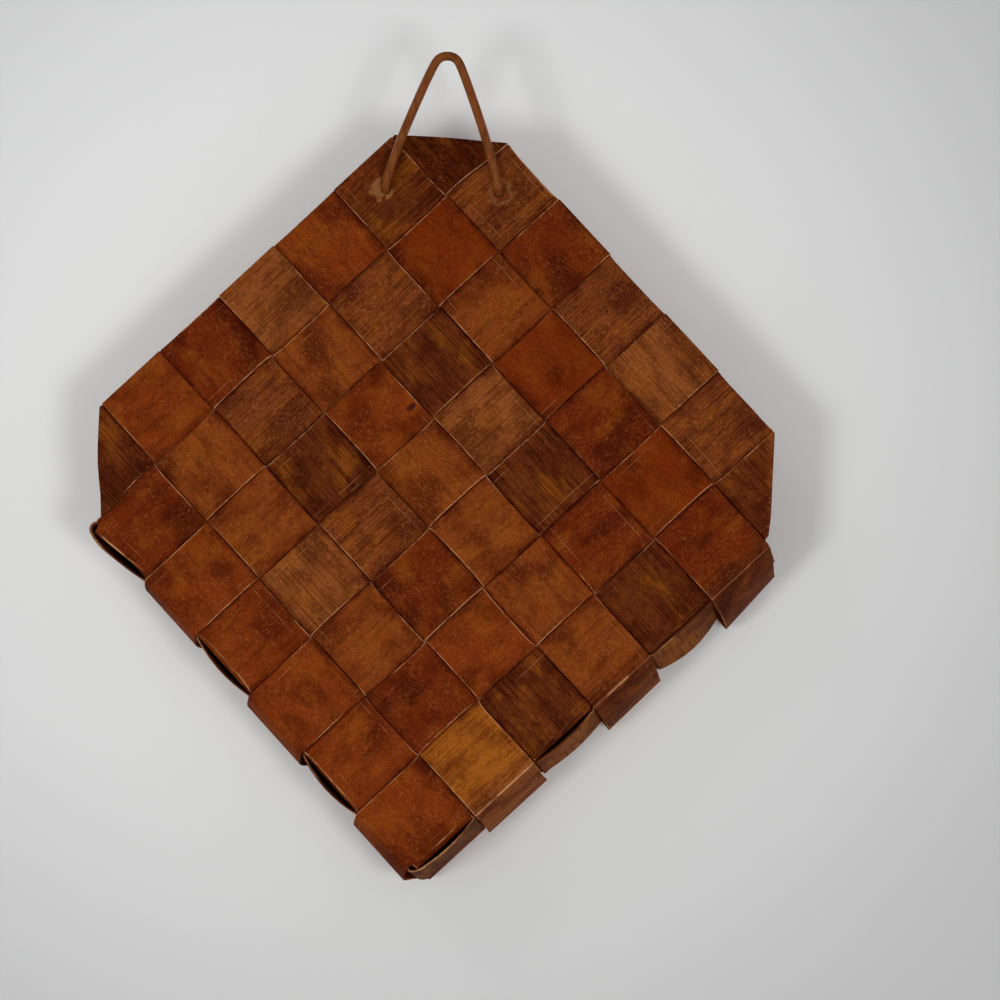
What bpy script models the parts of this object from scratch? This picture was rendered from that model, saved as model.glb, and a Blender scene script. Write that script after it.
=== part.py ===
"""Birch bark wall basket with a woven pocket, hung by a leather cord.

The panel is a square of seven by seven woven lanes that stands on one corner. Lanes of the first kind
run along v, towards the left corner, and lanes of the second kind run along u, towards the right corner.
Both u and v start at the top corner. Each lane holds a strip of two plies of bark.

Six long strips make the lanes one to six of both kinds. Each comes down the panel, goes round the lower
left edge, runs up the pocket front to the rim, folds over it at 45 degrees, comes down again in the other
direction, goes round the lower right edge and runs back up the panel. A border strip makes lane zero of
both kinds, and a side band on edge runs round the two lower edges.

The back of the panel faces -Y, the pocket is on the +Y side and leans a little outwards and down, and the
origin is the point where a hook bears on the cord.
"""
import math

import bmesh
import bpy
from mathutils import Matrix, Vector

# Driving dimensions, in metres
PITCH = 0.028
PLY_THICKNESS = 0.00045
TOUCH_GAP = 0.0003
EDGE_RADIUS = 0.003
TURN_SLACK = 0.00025
SIDE_BAND_WIDTH = 0.025
LEAN_ALONG_U = 0.0035
LEAN_ALONG_V = 0.0020
CORD_DIAMETER = 0.0032
HOLE_HALF_SPREAD = 0.0202
HOLE_DROP = 0.0474
CORNER_DROP = 0.0091
PANEL_SHIFT = 0.002
CORD_STANDOFF = 0.0045
KNOT_SIZE = 0.0013
KNOT_TAIL = 0.007

# Counts and angles
LANES = 7
RAMP_ANGLE = math.radians(48)
ARC_STEPS = 4
FOLD_STEPS = 4
WRAP_STEPS = 4
HOLE_SIDES = 24
CORD_BEVEL_STEPS = 2
KNOT_POINTS = 48
KNOT_SIDES = 10

# Sizes that follow from the driving ones
CORD_RADIUS = CORD_DIAMETER / 2
LANE_THICKNESS = 2 * PLY_THICKNESS + TOUCH_GAP
HALF_LIFT = (LANE_THICKNESS + TOUCH_GAP) / 2
PLY_OFFSET = (PLY_THICKNESS + TOUCH_GAP) / 2
LANE_GAP = (LANE_THICKNESS + TOUCH_GAP * (1 - math.cos(RAMP_ANGLE))) / math.sin(RAMP_ANGLE)
HALF_GAP = LANE_GAP / 2
SPAN = LANES * PITCH
TURN_START = SPAN - HALF_GAP + TURN_SLACK
WALL_PLANE = TURN_START + EDGE_RADIUS
BAND_LOW = EDGE_RADIUS + TOUCH_GAP
BAND_HIGH = BAND_LOW + SIDE_BAND_WIDTH
WALL_RAMP = BAND_HIGH + HALF_GAP
POCKET_DEPTH = WALL_RAMP + HALF_LIFT / math.tan(RAMP_ANGLE) + TURN_SLACK + EDGE_RADIUS
BAND_CORNER_RADIUS = WALL_PLANE - SPAN - HALF_LIFT / math.tan(RAMP_ANGLE)
WRAP_RADIUS = HALF_LIFT
TUCK_LEVEL = HALF_LIFT + LANE_THICKNESS / 2 + TOUCH_GAP + PLY_THICKNESS
HOLE_RADIUS = CORD_RADIUS + TOUCH_GAP
CORNER_HEIGHT = CORD_RADIUS - CORNER_DROP
HOLE_HEIGHT = CORD_RADIUS - HOLE_DROP
LEFT_KNOT_SEAT = CORD_STANDOFF + TUCK_LEVEL
RIGHT_KNOT_SEAT = CORD_STANDOFF + HALF_LIFT + LANE_THICKNESS / 2
KNOT_TAIL_DROP = 2 * KNOT_SIZE
KNOT_VOXEL = CORD_RADIUS / 2
HOLE_CUTTER_LENGTH = POCKET_DEPTH / 2

# Where the border strip's tails meet the long strips, in lanes from the corner, for ply a and ply b
LEFT_SPLICE_SHARES = (2.5, 4.5)
RIGHT_SPLICE_SHARES = (1.5, 3.5)

# One leg of the cord from the hook down to its hole, chosen by hand: x, y and z in metres
CORD_LEG = (
    (0.0000, 0.0000, 0.0016),
    (0.0033, 0.0000, 0.0004),
    (0.0059, 0.0000, -0.0044),
    (0.0100, 0.0000, -0.0145),
    (0.0143, 0.0000, -0.0259),
    (0.0177, 0.0000, -0.0362),
    (0.0193, 0.0002, -0.0412),
    (0.0199, 0.0011, -0.0444),
    (0.0202, 0.0034, -0.0458),
)
CORD_POINTS_PER_STRETCH = 3

STRIP_COLOURS = (
    (0.23, 0.070, 0.020),
    (0.26, 0.085, 0.024),
    (0.19, 0.055, 0.018),
    (0.28, 0.095, 0.026),
    (0.21, 0.060, 0.020),
    (0.30, 0.120, 0.028),
)
BORDER_COLOUR = (0.22, 0.075, 0.024)
BAND_COLOUR = (0.24, 0.100, 0.036)
CORD_COLOUR = (0.36, 0.150, 0.048)
BARK_ROUGHNESS = 0.55
LEATHER_ROUGHNESS = 0.6


def clear_scene():
    for item in list(bpy.data.objects):
        bpy.data.objects.remove(item, do_unlink=True)


def new_material(name, colour, roughness):
    material = bpy.data.materials.new(name)
    material.use_nodes = True
    shader = material.node_tree.nodes["Principled BSDF"]
    shader.inputs["Base Color"].default_value = (*colour, 1)
    shader.inputs["Roughness"].default_value = roughness
    shader.inputs["Metallic"].default_value = 0
    return material


def add_object(name, data, colour, roughness):
    item = bpy.data.objects.new(name, data)
    item.data.materials.append(new_material(name, colour, roughness))
    bpy.context.scene.collection.objects.link(item)
    return item


def to_world(u, v, y):
    """Place a point of the weave, given along u, along v and in depth from the panel's middle plane.

    The pocket leans, so u and v grow with the depth.
    """
    u += LEAN_ALONG_U * y / POCKET_DEPTH
    v += LEAN_ALONG_V * y / POCKET_DEPTH
    across = (u - v) * math.sqrt(0.5)
    down = (u + v) * math.sqrt(0.5)
    return Vector((PANEL_SHIFT + across, CORD_STANDOFF + y, CORNER_HEIGHT - down))


# The weave


def lane_middle(lane):
    return (lane + 0.5) * PITCH


def level(kind, lane, cell, side):
    """Height of a lane over the middle surface, outwards, where it crosses the given lane."""
    first_is_out = (lane + cell) % 2 == (0 if side == "panel" else 1)
    return HALF_LIFT if (kind == "first") == first_is_out else -HALF_LIFT


def wall_level(kind, lane):
    """Height of a lane where it passes the side band."""
    out = lane % 2 == (0 if kind == "first" else 1)
    return HALF_LIFT if out else -HALF_LIFT


def middle_surface(run):
    """Point and outward normal of the middle surface after a run down the panel and round an edge."""
    quarter = EDGE_RADIUS * math.pi / 2
    wall = POCKET_DEPTH - 2 * EDGE_RADIUS
    past = run - TURN_START
    if past <= 0:
        return Vector((run, 0)), Vector((0, -1))
    if past < quarter:
        angle = past / EDGE_RADIUS
        normal = Vector((math.sin(angle), -math.cos(angle)))
        return Vector((TURN_START, EDGE_RADIUS)) + EDGE_RADIUS * normal, normal
    past -= quarter
    if past <= wall:
        return Vector((WALL_PLANE, EDGE_RADIUS + past)), Vector((1, 0))
    past -= wall
    if past < quarter:
        angle = past / EDGE_RADIUS
        normal = Vector((math.cos(angle), math.sin(angle)))
        return Vector((TURN_START, POCKET_DEPTH - EDGE_RADIUS)) + EDGE_RADIUS * normal, normal
    past -= quarter
    return Vector((TURN_START - past, POCKET_DEPTH)), Vector((0, 1))


def wall_run(depth):
    """Run at which the middle surface reaches a depth on the pocket's side wall."""
    return TURN_START + EDGE_RADIUS * math.pi / 2 + depth - EDGE_RADIUS


def front_run(place):
    """Run at which the middle surface reaches a place on the pocket front."""
    return wall_run(POCKET_DEPTH - EDGE_RADIUS) + EDGE_RADIUS * math.pi / 2 + TURN_START - place


def arc_runs(start):
    return [start + EDGE_RADIUS * math.pi / 2 * step / ARC_STEPS for step in range(ARC_STEPS + 1)]


def ramp(run, before, after):
    """The two bends where a lane passes from one level to the next."""
    half = abs(after - before) / 2 / math.tan(RAMP_ANGLE)
    return [(run - half, before), (run + half, after)]


def panel_path(kind, lane, first_cell, last_cell):
    """Bends of a lane on the panel between two of its cells, as runs and levels."""
    path = []
    for cell in range(first_cell + 1, last_cell + 1):
        before = level(kind, lane, cell - 1, "panel")
        path += ramp(cell * PITCH, before, level(kind, lane, cell, "panel"))
    return path


def pocket_path(kind, lane, last_cell):
    """Bends of a lane from the panel's last cell round the edge and up the pocket front to the rim."""
    out = wall_level(kind, lane)
    path = [(run, out) for run in arc_runs(TURN_START)]
    front = level(kind, lane, LANES - 1, "front")
    path += ramp(wall_run(WALL_RAMP), out, front)
    path += [(run, front) for run in arc_runs(wall_run(POCKET_DEPTH - EDGE_RADIUS))]
    for cell in range(LANES - 1, last_cell, -1):
        before = level(kind, lane, cell, "front")
        path += ramp(front_run(cell * PITCH), before, level(kind, lane, cell - 1, "front"))
    return path


def to_profile(path):
    points = []
    for run, height in path:
        place, normal = middle_surface(run)
        points.append(place + normal * height)
    return points


def wrap_profile():
    """A ply that comes from its tucked end round the border strip's edge, at the start of a lane."""
    points = [Vector((PITCH - HALF_GAP, 2 * WRAP_RADIUS))]
    for step in range(WRAP_STEPS + 1):
        angle = math.pi * step / WRAP_STEPS
        turn = Vector((-math.sin(angle), math.cos(angle)))
        points.append(Vector((HALF_GAP, WRAP_RADIUS)) + WRAP_RADIUS * turn)
    return points


def mitres(points):
    """Right-hand normals of a polyline, lengthened at each bend so that an offset keeps its width."""
    normals = []
    for start, end in zip(points, points[1:]):
        along = (end - start).normalized()
        normals.append(Vector((along.y, -along.x)))
    result = [normals[0]]
    for before, after in zip(normals, normals[1:]):
        result.append((before + after) / (1 + before.dot(after)))
    return result + [normals[-1]]


def lane_edges(lane):
    return lane * PITCH + HALF_GAP, (lane + 1) * PITCH - HALF_GAP


def lane_stations(kind, lane, points, facing, flip, drop=(0, 0)):
    """Cross-sections of a lane: its two edge points and the direction of its ply's face."""
    low, high = lane_edges(lane)
    left, right = (high, low) if flip else (low, high)
    stations = []
    for place, mitre in zip(points, mitres(points)):
        if kind == "first":
            edges = Vector((left, place.x, place.y)), Vector((right, place.x, place.y))
            face = Vector((0, mitre.x, mitre.y))
        else:
            edges = Vector((place.x, left, place.y)), Vector((place.x, right, place.y))
            face = Vector((mitre.x, 0, mitre.y))
        stations.append((*edges, face * facing))
    return stations[drop[0]:len(stations) - drop[1]]


def fold_stations(left, right, outwards, depth, start_face):
    """A strip turning over on itself about the diagonal from left to right."""
    stations = []
    for step in range(FOLD_STEPS + 1):
        angle = math.pi * step / FOLD_STEPS
        face = outwards * math.sin(angle) + Vector((0, 0, start_face * math.cos(angle)))
        shift = Vector((0, 0, depth)) + face * HALF_LIFT
        stations.append((left + shift, right + shift, face))
    return stations


def ribbon_mesh(name, stations, offset, place):
    """A closed strip of one ply's thickness through its cross-sections."""
    mesh = bpy.data.meshes.new(name)
    build = bmesh.new()
    rings = []
    for left, right, face in stations:
        outer = face * (offset + PLY_THICKNESS / 2)
        inner = face * (offset - PLY_THICKNESS / 2)
        corners = (left + outer, right + outer, right + inner, left + inner)
        rings.append([build.verts.new(place(*corner)) for corner in corners])
    for before, after in zip(rings, rings[1:]):
        for index in range(4):
            following = (index + 1) % 4
            build.faces.new((before[index], before[following], after[following], after[index]))
    build.faces.new(rings[0])
    build.faces.new(rings[-1])
    bmesh.ops.recalc_face_normals(build, faces=build.faces[:])
    build.to_mesh(mesh)
    build.free()
    return mesh


# The strips


def half_strip(kind, lane, end, rim_cell):
    """One half of a long strip, from its end on the panel to the middle of its rim cell."""
    style, place = end
    if style == "wrapped":
        points = wrap_profile() + to_profile(ramp(PITCH, 0, level(kind, lane, 1, "panel")))
        first_cell = 1
    elif style == "tucked":
        points = to_profile([(PITCH, level(kind, lane, 1, "panel"))])
        first_cell = 1
    else:
        first_cell = int(place / PITCH)
        points = to_profile([(place, level(kind, lane, first_cell, "panel"))])
    points += to_profile(panel_path(kind, lane, first_cell, LANES - 1))
    points += to_profile(pocket_path(kind, lane, rim_cell))
    middle = front_run(lane_middle(rim_cell))
    return points + to_profile([(middle, level(kind, lane, rim_cell, "front"))])


def strip_end(kind, lane, ply):
    """How a ply ends at the top of its lane: wrapped round the border strip, tucked, cut or spliced."""
    if kind == "first" and lane == LANES - 1:
        return "cut", RIGHT_SPLICE_SHARES[ply] * PITCH + TOUCH_GAP
    if kind == "second" and lane == LANES - 1:
        return "cut", LEFT_SPLICE_SHARES[ply] * PITCH + TOUCH_GAP
    outermost = 0 if kind == "first" else 1
    if level(kind, lane, 0, "panel") > 0:
        return ("wrapped" if ply == outermost else "tucked"), 0
    return "cut", HALF_GAP


def long_strip(number, ply):
    """Cross-sections of one ply of a long strip from end to end."""
    rim_cell = LANES - number
    first = half_strip("first", number, strip_end("first", number, ply), rim_cell)
    second = half_strip("second", rim_cell, strip_end("second", rim_cell, ply), number)
    stations = lane_stations("first", number, first, 1, False, (0, 1))
    low, high = lane_edges(number)
    rim_low, rim_high = lane_edges(rim_cell)
    outwards = Vector((-1, -1, 0)).normalized()
    left, right = Vector((low, rim_high, 0)), Vector((high, rim_low, 0))
    stations += fold_stations(left, right, outwards, POCKET_DEPTH, 1)
    stations += reversed(lane_stations("second", rim_cell, second, -1, True, (0, 1)))
    return stations


def border_strip(ply):
    """Cross-sections of one ply of the border strip, from its left splice to its right one."""
    last = LANES - 1
    low, high = lane_edges(0)
    far_low, far_high = lane_edges(last)
    stations = []

    splice = LEFT_SPLICE_SHARES[ply]
    path = [(lane_middle(0), level("second", last, 0, "panel"))]
    path += panel_path("second", last, 0, int(splice))
    path += [(splice * PITCH - TOUCH_GAP, level("second", last, int(splice), "panel"))]
    stations += reversed(lane_stations("second", last, to_profile(path), -1, False, (1, 0)))
    outwards = Vector((-1, 1, 0)).normalized()
    stations += fold_stations(Vector((low, far_low, 0)), Vector((high, far_high, 0)), outwards, 0, 1)

    ends = [(lane_middle(0), level("first", 0, 0, "panel"))], [(lane_middle(last), level("first", 0, last, "panel"))]
    path = ends[0] + panel_path("first", 0, 0, last) + ends[1]
    stations += reversed(lane_stations("first", 0, to_profile(path), 1, False, (1, 1)))
    outwards = Vector((-1, -1, 0)).normalized()
    stations += fold_stations(Vector((low, high, 0)), Vector((high, low, 0)), outwards, 0, -1)

    ends = [(lane_middle(0), level("second", 0, 0, "panel"))], [(lane_middle(last), level("second", 0, last, "panel"))]
    path = ends[0] + panel_path("second", 0, 0, last) + ends[1]
    stations += lane_stations("second", 0, to_profile(path), -1, True, (1, 1))
    outwards = Vector((1, -1, 0)).normalized()
    stations += fold_stations(Vector((far_high, high, 0)), Vector((far_low, low, 0)), outwards, 0, 1)

    splice = RIGHT_SPLICE_SHARES[ply]
    path = [(lane_middle(0), level("first", last, 0, "panel"))]
    path += panel_path("first", last, 0, int(splice))
    path += [(splice * PITCH - TOUCH_GAP, level("first", last, int(splice), "panel"))]
    stations += lane_stations("first", last, to_profile(path), 1, True, (1, 0))
    return stations


def band_profile():
    """The side band seen along Y: hooked round the first strip, then in and out round both lower edges."""
    hook_reach = 2 * HALF_LIFT
    hook_middle = Vector((PITCH + HALF_GAP, WALL_PLANE - HALF_LIFT))
    points = [Vector((2 * PITCH - HALF_GAP, WALL_PLANE - HALF_LIFT - hook_reach))]
    for step in range(WRAP_STEPS + 1):
        angle = math.pi * step / WRAP_STEPS
        turn = Vector((-math.sin(angle), -math.cos(angle)))
        points.append(hook_middle + hook_reach * turn)
    for lane in range(2, LANES):
        for run, height in ramp(lane * PITCH, -wall_level("first", lane - 1), -wall_level("first", lane)):
            points.append(Vector((run, WALL_PLANE + height)))
    before, after = -wall_level("first", LANES - 1), -wall_level("second", LANES - 1)
    for run, height in ramp(SPAN, before, after):
        points.append(Vector((run, WALL_PLANE + height)))
    bend = WALL_PLANE - BAND_CORNER_RADIUS
    for step in range(1, ARC_STEPS + 1):
        angle = math.pi / 2 * step / ARC_STEPS
        turn = Vector((math.sin(angle), math.cos(angle)))
        points.append(Vector((bend, bend)) + (BAND_CORNER_RADIUS + after) * turn)
    for lane in range(LANES - 1, 1, -1):
        for run, height in ramp(-lane * PITCH, -wall_level("second", lane), -wall_level("second", lane - 1)):
            points.append(Vector((WALL_PLANE + height, -run)))
    points.append(Vector((WALL_PLANE - wall_level("second", 1), PITCH + HALF_GAP)))
    return points


def side_band():
    """Cross-sections of the side band, which stands on edge between the panel and the pocket front."""
    points = band_profile()
    stations = []
    for place, mitre in zip(points, mitres(points)):
        low = Vector((place.x, place.y, BAND_LOW))
        high = Vector((place.x, place.y, BAND_HIGH))
        stations.append((low, high, Vector((-mitre.x, -mitre.y, 0))))
    return stations


# The cord


def smooth_route(points):
    """A smooth curve through the route's points, with a few steps between each two."""
    padded = [2 * points[0] - points[1]] + points + [2 * points[-1] - points[-2]]
    route = []
    for index in range(1, len(padded) - 2):
        before, start, end, after = padded[index - 1:index + 3]
        for step in range(CORD_POINTS_PER_STRETCH):
            t = step / CORD_POINTS_PER_STRETCH
            straight = start * 2 + (end - before) * t
            curve = (before * 2 - start * 5 + end * 4 - after) * t ** 2
            curve += (start * 3 - before - end * 3 + after) * t ** 3
            route.append((straight + curve) / 2)
    return route + [points[-1]]


def cord_points():
    left = [Vector((-x, y, z)) for x, y, z in CORD_LEG]
    right = [Vector(point) for point in CORD_LEG]
    left.append(Vector((left[-1].x, LEFT_KNOT_SEAT, left[-1].z)))
    right.append(Vector((right[-1].x, RIGHT_KNOT_SEAT, right[-1].z)))
    return smooth_route(left[:0:-1] + right)


def make_cord():
    curve = bpy.data.curves.new("hanging_cord", "CURVE")
    curve.dimensions = "3D"
    curve.bevel_depth = CORD_RADIUS
    curve.bevel_resolution = CORD_BEVEL_STEPS
    curve.use_fill_caps = True
    spline = curve.splines.new("POLY")
    points = cord_points()
    spline.points.add(len(points) - 1)
    for knot, point in zip(spline.points, points):
        knot.co = (*point, 1)
    return add_object("hanging_cord", curve, CORD_COLOUR, LEATHER_ROUGHNESS)


def knot_route():
    """The three-lobed path of an overhand knot."""
    points = []
    for step in range(KNOT_POINTS):
        angle = 2 * math.pi * step / KNOT_POINTS
        x = math.sin(angle) + 2 * math.sin(2 * angle)
        z = math.cos(angle) - 2 * math.cos(2 * angle)
        y = -math.sin(3 * angle)
        points.append(Vector((x, y, z)) * KNOT_SIZE)
    return points


def make_knot(name, side, seat):
    """A stopper knot with its cut tail, drawn up tight against the bark."""
    build = bmesh.new()
    route = knot_route()
    rings = []
    for index, point in enumerate(route):
        along = (route[(index + 1) % len(route)] - route[index - 1]).normalized()
        across = along.cross(Vector((0, 1, 0))).normalized()
        rise = across.cross(along)
        ring = []
        for step in range(KNOT_SIDES):
            angle = 2 * math.pi * step / KNOT_SIDES
            offset = (across * math.cos(angle) + rise * math.sin(angle)) * CORD_RADIUS
            ring.append(build.verts.new(point + offset))
        rings.append(ring)
    for before, after in zip(rings, rings[1:] + rings[:1]):
        for step in range(KNOT_SIDES):
            following = (step + 1) % KNOT_SIDES
            build.faces.new((before[step], before[following], after[following], after[step]))
    bmesh.ops.recalc_face_normals(build, faces=build.faces[:])
    tail_start = Vector((side * KNOT_SIZE, 0, -KNOT_TAIL_DROP))
    tail = bmesh.ops.create_cone(build, cap_ends=True, segments=KNOT_SIDES, radius1=CORD_RADIUS,
                                 radius2=CORD_RADIUS, depth=KNOT_TAIL)
    for vert in tail["verts"]:
        vert.co += tail_start - Vector((0, 0, KNOT_TAIL / 2))
    middle = seat + TOUCH_GAP + KNOT_SIZE + CORD_RADIUS
    for vert in build.verts:
        vert.co += Vector((side * HOLE_HALF_SPREAD, middle, HOLE_HEIGHT))
    mesh = bpy.data.meshes.new(name)
    build.to_mesh(mesh)
    build.free()
    knot = add_object(name, mesh, CORD_COLOUR, LEATHER_ROUGHNESS)
    remesh = knot.modifiers.new("one_body", "REMESH")
    remesh.mode = "VOXEL"
    remesh.voxel_size = KNOT_VOXEL
    return knot


# Assembly


def make_hole_cutter(name, side):
    """A guide cylinder along Y that pierces the bark where one leg of the cord passes."""
    build = bmesh.new()
    middle = Matrix.Translation((side * HOLE_HALF_SPREAD, CORD_STANDOFF, HOLE_HEIGHT))
    turned = middle @ Matrix.Rotation(math.pi / 2, 4, "X")
    bmesh.ops.create_cone(build, cap_ends=True, segments=HOLE_SIDES, radius1=HOLE_RADIUS,
                          radius2=HOLE_RADIUS, depth=HOLE_CUTTER_LENGTH, matrix=turned)
    mesh = bpy.data.meshes.new(name)
    build.to_mesh(mesh)
    build.free()
    cutter = add_object(name, mesh, CORD_COLOUR, LEATHER_ROUGHNESS)
    cutter.hide_render = True
    cutter.display_type = "WIRE"
    return cutter


def cut_hole(item, cutter):
    cut = item.modifiers.new(cutter.name, "BOOLEAN")
    cut.operation = "DIFFERENCE"
    cut.solver = "EXACT"
    cut.object = cutter


def build_basket():
    clear_scene()
    plies = (("ply_a", PLY_OFFSET), ("ply_b", -PLY_OFFSET))
    left_hole = make_hole_cutter("left_hole_cutter", -1)
    right_hole = make_hole_cutter("right_hole_cutter", 1)
    for ply, (suffix, offset) in enumerate(plies):
        name = "border_strip_" + suffix
        mesh = ribbon_mesh(name, border_strip(ply), offset, to_world)
        border = add_object(name, mesh, BORDER_COLOUR, BARK_ROUGHNESS)
        cut_hole(border, left_hole)
        cut_hole(border, right_hole)
        for number in range(1, LANES):
            name = f"strip_{number}_{suffix}"
            mesh = ribbon_mesh(name, long_strip(number, ply), offset, to_world)
            strip = add_object(name, mesh, STRIP_COLOURS[number - 1], BARK_ROUGHNESS)
            if number == 1:
                cut_hole(strip, right_hole)
            if number == LANES - 1:
                cut_hole(strip, left_hole)
        name = "side_band_" + suffix
        mesh = ribbon_mesh(name, side_band(), offset, to_world)
        add_object(name, mesh, BAND_COLOUR, BARK_ROUGHNESS)
    make_cord()
    make_knot("cord_knot_left", -1, LEFT_KNOT_SEAT)
    make_knot("cord_knot_right", 1, RIGHT_KNOT_SEAT)


build_basket()
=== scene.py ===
"""Looks of the birch bark wall basket: woven double strips, side band, leather cord and their finishes.

Points of the weave are given along u (down to the right), along v (down to the left) and in depth from
the panel's middle plane, as in the construction. A strip's own coordinates are its run, which goes down
the panel, round the lower edge and up the pocket front, and the distance across it.
"""
import math

import bmesh
import bpy
import numpy as np
from mathutils import Matrix, Vector, noise


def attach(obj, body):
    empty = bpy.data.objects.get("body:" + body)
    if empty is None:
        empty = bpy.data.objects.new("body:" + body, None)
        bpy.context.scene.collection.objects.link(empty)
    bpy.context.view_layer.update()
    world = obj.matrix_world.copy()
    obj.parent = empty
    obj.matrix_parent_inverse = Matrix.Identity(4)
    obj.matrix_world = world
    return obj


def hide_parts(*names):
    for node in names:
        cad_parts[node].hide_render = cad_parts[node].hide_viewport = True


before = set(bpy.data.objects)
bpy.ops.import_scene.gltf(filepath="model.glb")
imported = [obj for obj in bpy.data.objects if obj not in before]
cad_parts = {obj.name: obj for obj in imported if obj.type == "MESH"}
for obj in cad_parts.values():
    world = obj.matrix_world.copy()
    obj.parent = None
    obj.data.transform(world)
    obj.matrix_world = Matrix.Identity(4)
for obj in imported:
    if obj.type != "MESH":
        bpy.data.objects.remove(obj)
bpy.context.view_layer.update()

# Sizes of the construction, in metres
PITCH = 0.028
LANES = 7
SPAN = LANES * PITCH
EDGE_RADIUS = 0.0011
WALL_PLANE = 0.198376
TURN_START = WALL_PLANE - EDGE_RADIUS
QUARTER_TURN = EDGE_RADIUS * math.pi / 2
POCKET_DEPTH = 0.033099
BAND_LOW = 0.0008
BAND_HIGH = 0.0283
BAND_WIDTH = BAND_HIGH - BAND_LOW
WALL_RAMP = 0.029174
CORNER_HEIGHT = -0.0075
PANEL_SHIFT = 0.002
CORD_STANDOFF = 0.0045
CORD_DIAMETER = 0.0032
CORD_RADIUS = CORD_DIAMETER / 2
HOLE_HALF_SPREAD = 0.0202
HOLE_HEIGHT = -0.0458
HOLE_RADIUS = 0.0019
HOLE_CUT_DEPTH = 0.02
BAND_CORNER_RADIUS = 0.0034
LEAN_ALONG_U = 0.0035
LEAN_ALONG_V = 0.0020
KNOT_SIZE = 0.0013
LEFT_SPLICES = (2.5 * PITCH, 4.5 * PITCH)
RIGHT_SPLICES = (1.5 * PITCH, 3.5 * PITCH)
SPLICE_GAP = 0.0004
TUCK_SPARE = 0.002
INNER_PLY_START = 0.0004

# The bark itself, thinner and closer than its solids
BARK = 0.00034
NEST_GAP = 0.00002
LANE_THICKNESS = 2 * BARK + NEST_GAP
HALF_LIFT = LANE_THICKNESS / 2 + NEST_GAP
PLY_OFFSET = (BARK + NEST_GAP) / 2
HALF_GAP = 0.00036
RAMP_ANGLE = math.radians(75)
RAMP_HALF = HALF_LIFT / math.tan(RAMP_ANGLE)
RAMP_SOFTNESS = 0.00014
RAMP_TAPS = (-1, -0.5, 0, 0.5, 1)
WRAP_RADIUS = HALF_LIFT
HALF_WIDTH = PITCH / 2 - HALF_GAP
CHAMFER = 0.00014
PALE_RIM = 0.00042
CROWN = 0.00036
WARP = 0.00030
WARP_PACES = (45, 70)
EDGE_WAVE = 0.00013
BAND_EDGE_WAVE = 0.0005
EDGE_PACES = (55, 210)
PEEK = 0.0004
PEEK_PACE = 14
JUNCTION_WIDENING = 0.00024
JUNCTION_REACH = 0.0022
# Reaches of the painted shade where a strip goes under another, of the painted highlight along a crease and
# of the painted shade in the gap behind the side band
DIVE_REACH = 0.0016
CREASE_REACH = 0.00016
HOLLOW_REACH = 0.0050
INNER_EDGE_TONE = 0.2
SHARP_ANGLE = math.radians(42)
FOLD_STEPS = 8
FAN_STEPS = 6
FAN_START = 0.0002

# Cross-sections: their places near a ramp in millimetres, those of the band beside its hook as shares of
# a lane, and the least step between two
NEAR_RAMP = (-1.8, -1, -0.6, -0.38, -0.2, 0, 0.2, 0.38, 0.6, 1, 1.8)
BULGE_STATIONS = (0.03, 0.06, 0.09, 0.12, 0.16, 0.21, 0.26, 0.32, 0.38, 0.46, 0.55, 0.63, 0.72, 0.80)
LEAST_STEP = 0.00007

# Seeds that keep one strip's noise apart from another's
FIRST_LANES_SEED = 9.1
PEEK_SEED = 40
BORDER_SEED = 20
BAND_SEED = 30
GRAIN_STEP = 0.37

# How far each border between two lanes lies from its even place, along u and along v
BORDERS = (*(border * PITCH for border in range(LANES)), 0.1925, 0.1968)
SHIFTS_ALONG_U = (-0.0009, -0.0001, -0.0004, -0.0007, -0.0010, -0.0004, -0.0005, -0.0008, -0.0020)
SHIFTS_ALONG_V = (0.0006, 0.0006, 0.0011, 0.0014, 0.0007, 0.0006, 0.0011, 0.0017, 0.0005)

# The pocket's walls: how far they bow in or out, and how far some lean out, twist and narrow at the front
WALL_BOW = 0.0007
BOW_LEAN = 0.72
WALL_BOWS = {("first", 2): 0.0023, ("first", 4): 0.0031, ("first", 6): 0.0033}
WALL_LEANS = {
    ("second", 1): (0.0052, 0.0011, 0.0036),
    ("second", 3): (0.0042, 0.0003, 0.0018),
    ("second", 5): (0.0026, 0, 0.0006),
}
LEAN_FADE = 0.009

# How far a lane's low (-1) or high (1) edge lies from its even place, at some runs
EDGE_REACHES = {
    ("first", 6): (1, (PITCH, PITCH + 0.006, TURN_START - 0.006, TURN_START), (0, 0.0017, 0.0017, 0)),
    ("second", 6): (1, (PITCH, PITCH + 0.0028, 2 * PITCH, 2 * PITCH + 0.004, TURN_START - 0.006,
                        TURN_START), (0, 0.0056, 0.0012, 0.0018, 0.0018, 0)),
    ("first", 1): (-1, (TURN_START, TURN_START + 0.002, TURN_START + 0.060, TURN_START + 0.068),
                   (0, 0.0022, 0.0022, 0)),
}

# Where the border strip's corners are pulled out of square: place along u and v, reach, and the pull
# along u and v
CORNER_PULLS = (
    (0.026, 0.192, 0.0113, 0.0016, -0.0016),
    (0.028, 0.002, 0.0130, 0.0019, -0.0004),
)

# How far the side band bulges over each strip that it passes outside, and how that changes with depth:
# the share at its near edge, and what is added towards its far edge
BAND_BULGES = {
    ("first", 1): (0.0047, (1, -1)), ("first", 3): (0.0017, (1, -1)), ("first", 5): (0.0020, (1, -1)),
    ("second", 6): (0.0015, (1, -0.9)), ("second", 4): (0.0017, (0.8, 0.1)),
    ("second", 2): (0.0024, (0.12, 0.88)),
}
BAND_FLARE = 0.0011
HOOK_SETBACK = 0.0027
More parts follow.
